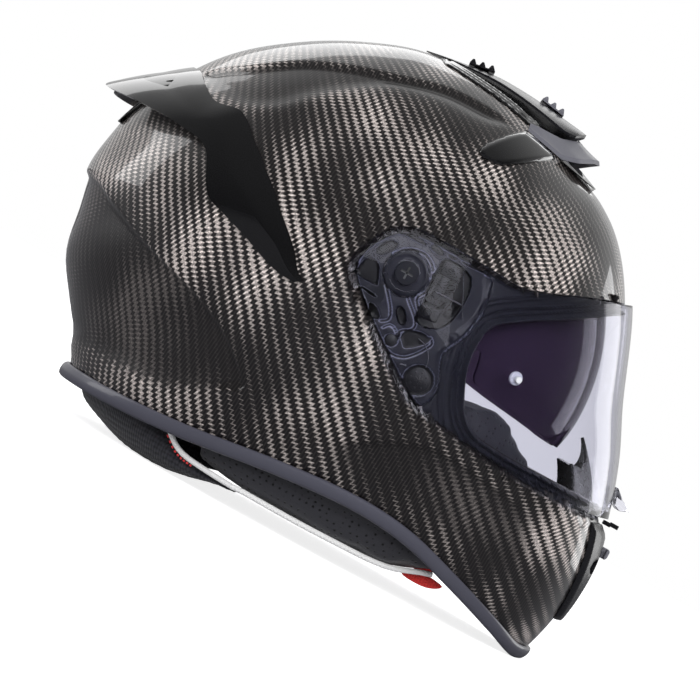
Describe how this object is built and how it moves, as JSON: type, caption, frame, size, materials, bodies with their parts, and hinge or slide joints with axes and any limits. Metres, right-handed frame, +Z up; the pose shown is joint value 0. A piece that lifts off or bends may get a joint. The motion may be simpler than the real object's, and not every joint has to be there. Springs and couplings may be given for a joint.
{
  "type": "full face helmet",
  "caption": "Full face road helmet with a carbon shell, a lifting clear face shield, an inner sun shield, sliding vents, rear spoiler, padded liner and chin strap.",
  "frame": {"origin": "centre of the bounding box seen from above, on the plane the helmet stands on", "axes": "+X straight ahead out of the eyeport, +Y to the wearer's left, +Z up"},
  "size_m": [0.3364, 0.2606, 0.2577],
  "materials": {
    "carbon_shell": "carbon twill under clear gloss coat",
    "edge_rubber": "satin",
    "gasket_rubber": "matte",
    "foam": "moulded foam",
    "pad_fabric": "brushed knit",
    "pad_leatherette": "perforated leatherette",
    "white_piping": "satin cord",
    "red_tab": "woven tape",
    "black_fabric": "woven",
    "black_plastic": "satin",
    "clear_shield": "clear polycarbonate",
    "lens_stud": "gloss",
    "mechanism_plastic": "fine matte",
    "steel": "bright",
    "smoke_shield": "dark smoke polycarbonate",
    "grey_plastic": "satin grey",
    "gloss_black": "gloss",
    "vent_mesh": "mesh"
  },
  "bodies": {
    "helmet": {"outer_shell": "carbon_shell", "edge_trim": "edge_rubber", "eyeport_gasket": "gasket_rubber", "impact_liner": "foam", "chin_liner": "foam", "crown_pad": "pad_fabric", "cheek_pad_right": "pad_leatherette", "cheek_pad_left": "pad_leatherette", "neck_roll": "pad_fabric", "piping": "white_piping", "pull_tabs": "red_tab", "chin_curtain": "black_fabric", "breath_deflector": "black_plastic", "pivot_plate_right": "mechanism_plastic", "pivot_plate_left": "mechanism_plastic", "pivot_stud_right": "mechanism_plastic", "pivot_stud_left": "mechanism_plastic", "lever_pins": "steel", "lever_springs": "steel", "plate_screws": "steel", "sun_visor_pins": "steel", "sun_slider_base": "black_plastic", "sun_visor_cable": "black_plastic", "crown_vent_base": "black_plastic", "crown_vent_cover": "grey_plastic", "scoop_plate": "grey_plastic", "scoop_vanes": "gloss_black", "brow_fin_right": "gloss_black", "brow_fin_left": "gloss_black", "chin_vent_body": "black_plastic", "chin_vent_mesh": "vent_mesh", "visor_catch": "black_plastic", "rear_spoiler": "gloss_black", "rear_exhaust_grille": "black_plastic", "strap_anchors": "steel", "chin_strap_short": "black_fabric", "chin_strap_long": "black_fabric"},
    "face_shield": {"visor": "clear_shield", "visor_tab": "clear_shield", "visor_boss_right": "clear_shield", "visor_boss_left": "clear_shield", "lens_pins": "lens_stud"},
    "sun_shield": {"sun_visor": "smoke_shield", "sun_visor_bushes": "black_plastic"},
    "sun_slider": {"sun_slider_knob": "black_plastic"},
    "lever_right": {"release_lever_right": "mechanism_plastic"},
    "lever_left": {"release_lever_left": "mechanism_plastic"},
    "crown_slider_front": {"crown_slider_front": "grey_plastic"},
    "crown_slider_rear": {"crown_slider_rear": "black_plastic"},
    "chin_slider": {"chin_vent_slider": "black_plastic"},
    "ring_large": {"d_ring_large": "steel"},
    "ring_small": {"d_ring_small": "steel"}
  },
  "joints": [
    {"name": "face_shield_hinge", "type": "hinge", "parent": "helmet", "child": "face_shield", "pos_m": [0.0092, 0, 0.141], "axis": [0, -1, 0], "range_deg": [0, 35]},
    {"name": "sun_shield_hinge", "type": "hinge", "parent": "helmet", "child": "sun_shield", "pos_m": [0.012, 0, 0.122], "axis": [0, -1, 0], "range_deg": [0, 40]},
    {"name": "sun_slider_slide", "type": "slide", "parent": "helmet", "child": "sun_slider", "axis": [1, 0, 0], "range_m": [0, 0.014]},
    {"name": "lever_right_hinge", "type": "hinge", "parent": "helmet", "child": "lever_right", "pos_m": [0.0245, -0.12, 0.13], "axis": [0, -1, 0], "range_deg": [0, 8], "stiffness_Nm_per_rad": 0.02},
    {"name": "lever_left_hinge", "type": "hinge", "parent": "helmet", "child": "lever_left", "pos_m": [0.0245, 0.12, 0.13], "axis": [0, -1, 0], "range_deg": [0, 8], "stiffness_Nm_per_rad": 0.02},
    {"name": "crown_slider_front_slide", "type": "slide", "parent": "helmet", "child": "crown_slider_front", "axis": [0.9877, 0, -0.1564], "range_m": [-0.007, 0.003]},
    {"name": "crown_slider_rear_slide", "type": "slide", "parent": "helmet", "child": "crown_slider_rear", "axis": [0.9877, 0, 0.1564], "range_m": [-0.002, 0.008]},
    {"name": "chin_slider_slide", "type": "slide", "parent": "helmet", "child": "chin_slider", "axis": [0, 0, 1], "range_m": [-0.0025, 0.004]},
    {"name": "ring_large_hinge", "type": "hinge", "parent": "helmet", "child": "ring_large", "pos_m": [0.011, -0.0511, 0.041], "axis": [1, 0, 0], "range_deg": [0, 80]},
    {"name": "ring_small_hinge", "type": "hinge", "parent": "helmet", "child": "ring_small", "pos_m": [0.011, -0.0511, 0.033], "axis": [1, 0, 0], "range_deg": [0, 80]}
  ],
  "couplings": [
    {"joint": "sun_slider_slide", "follows": "sun_shield_hinge", "m_per_rad": 0.020054}
  ]
}
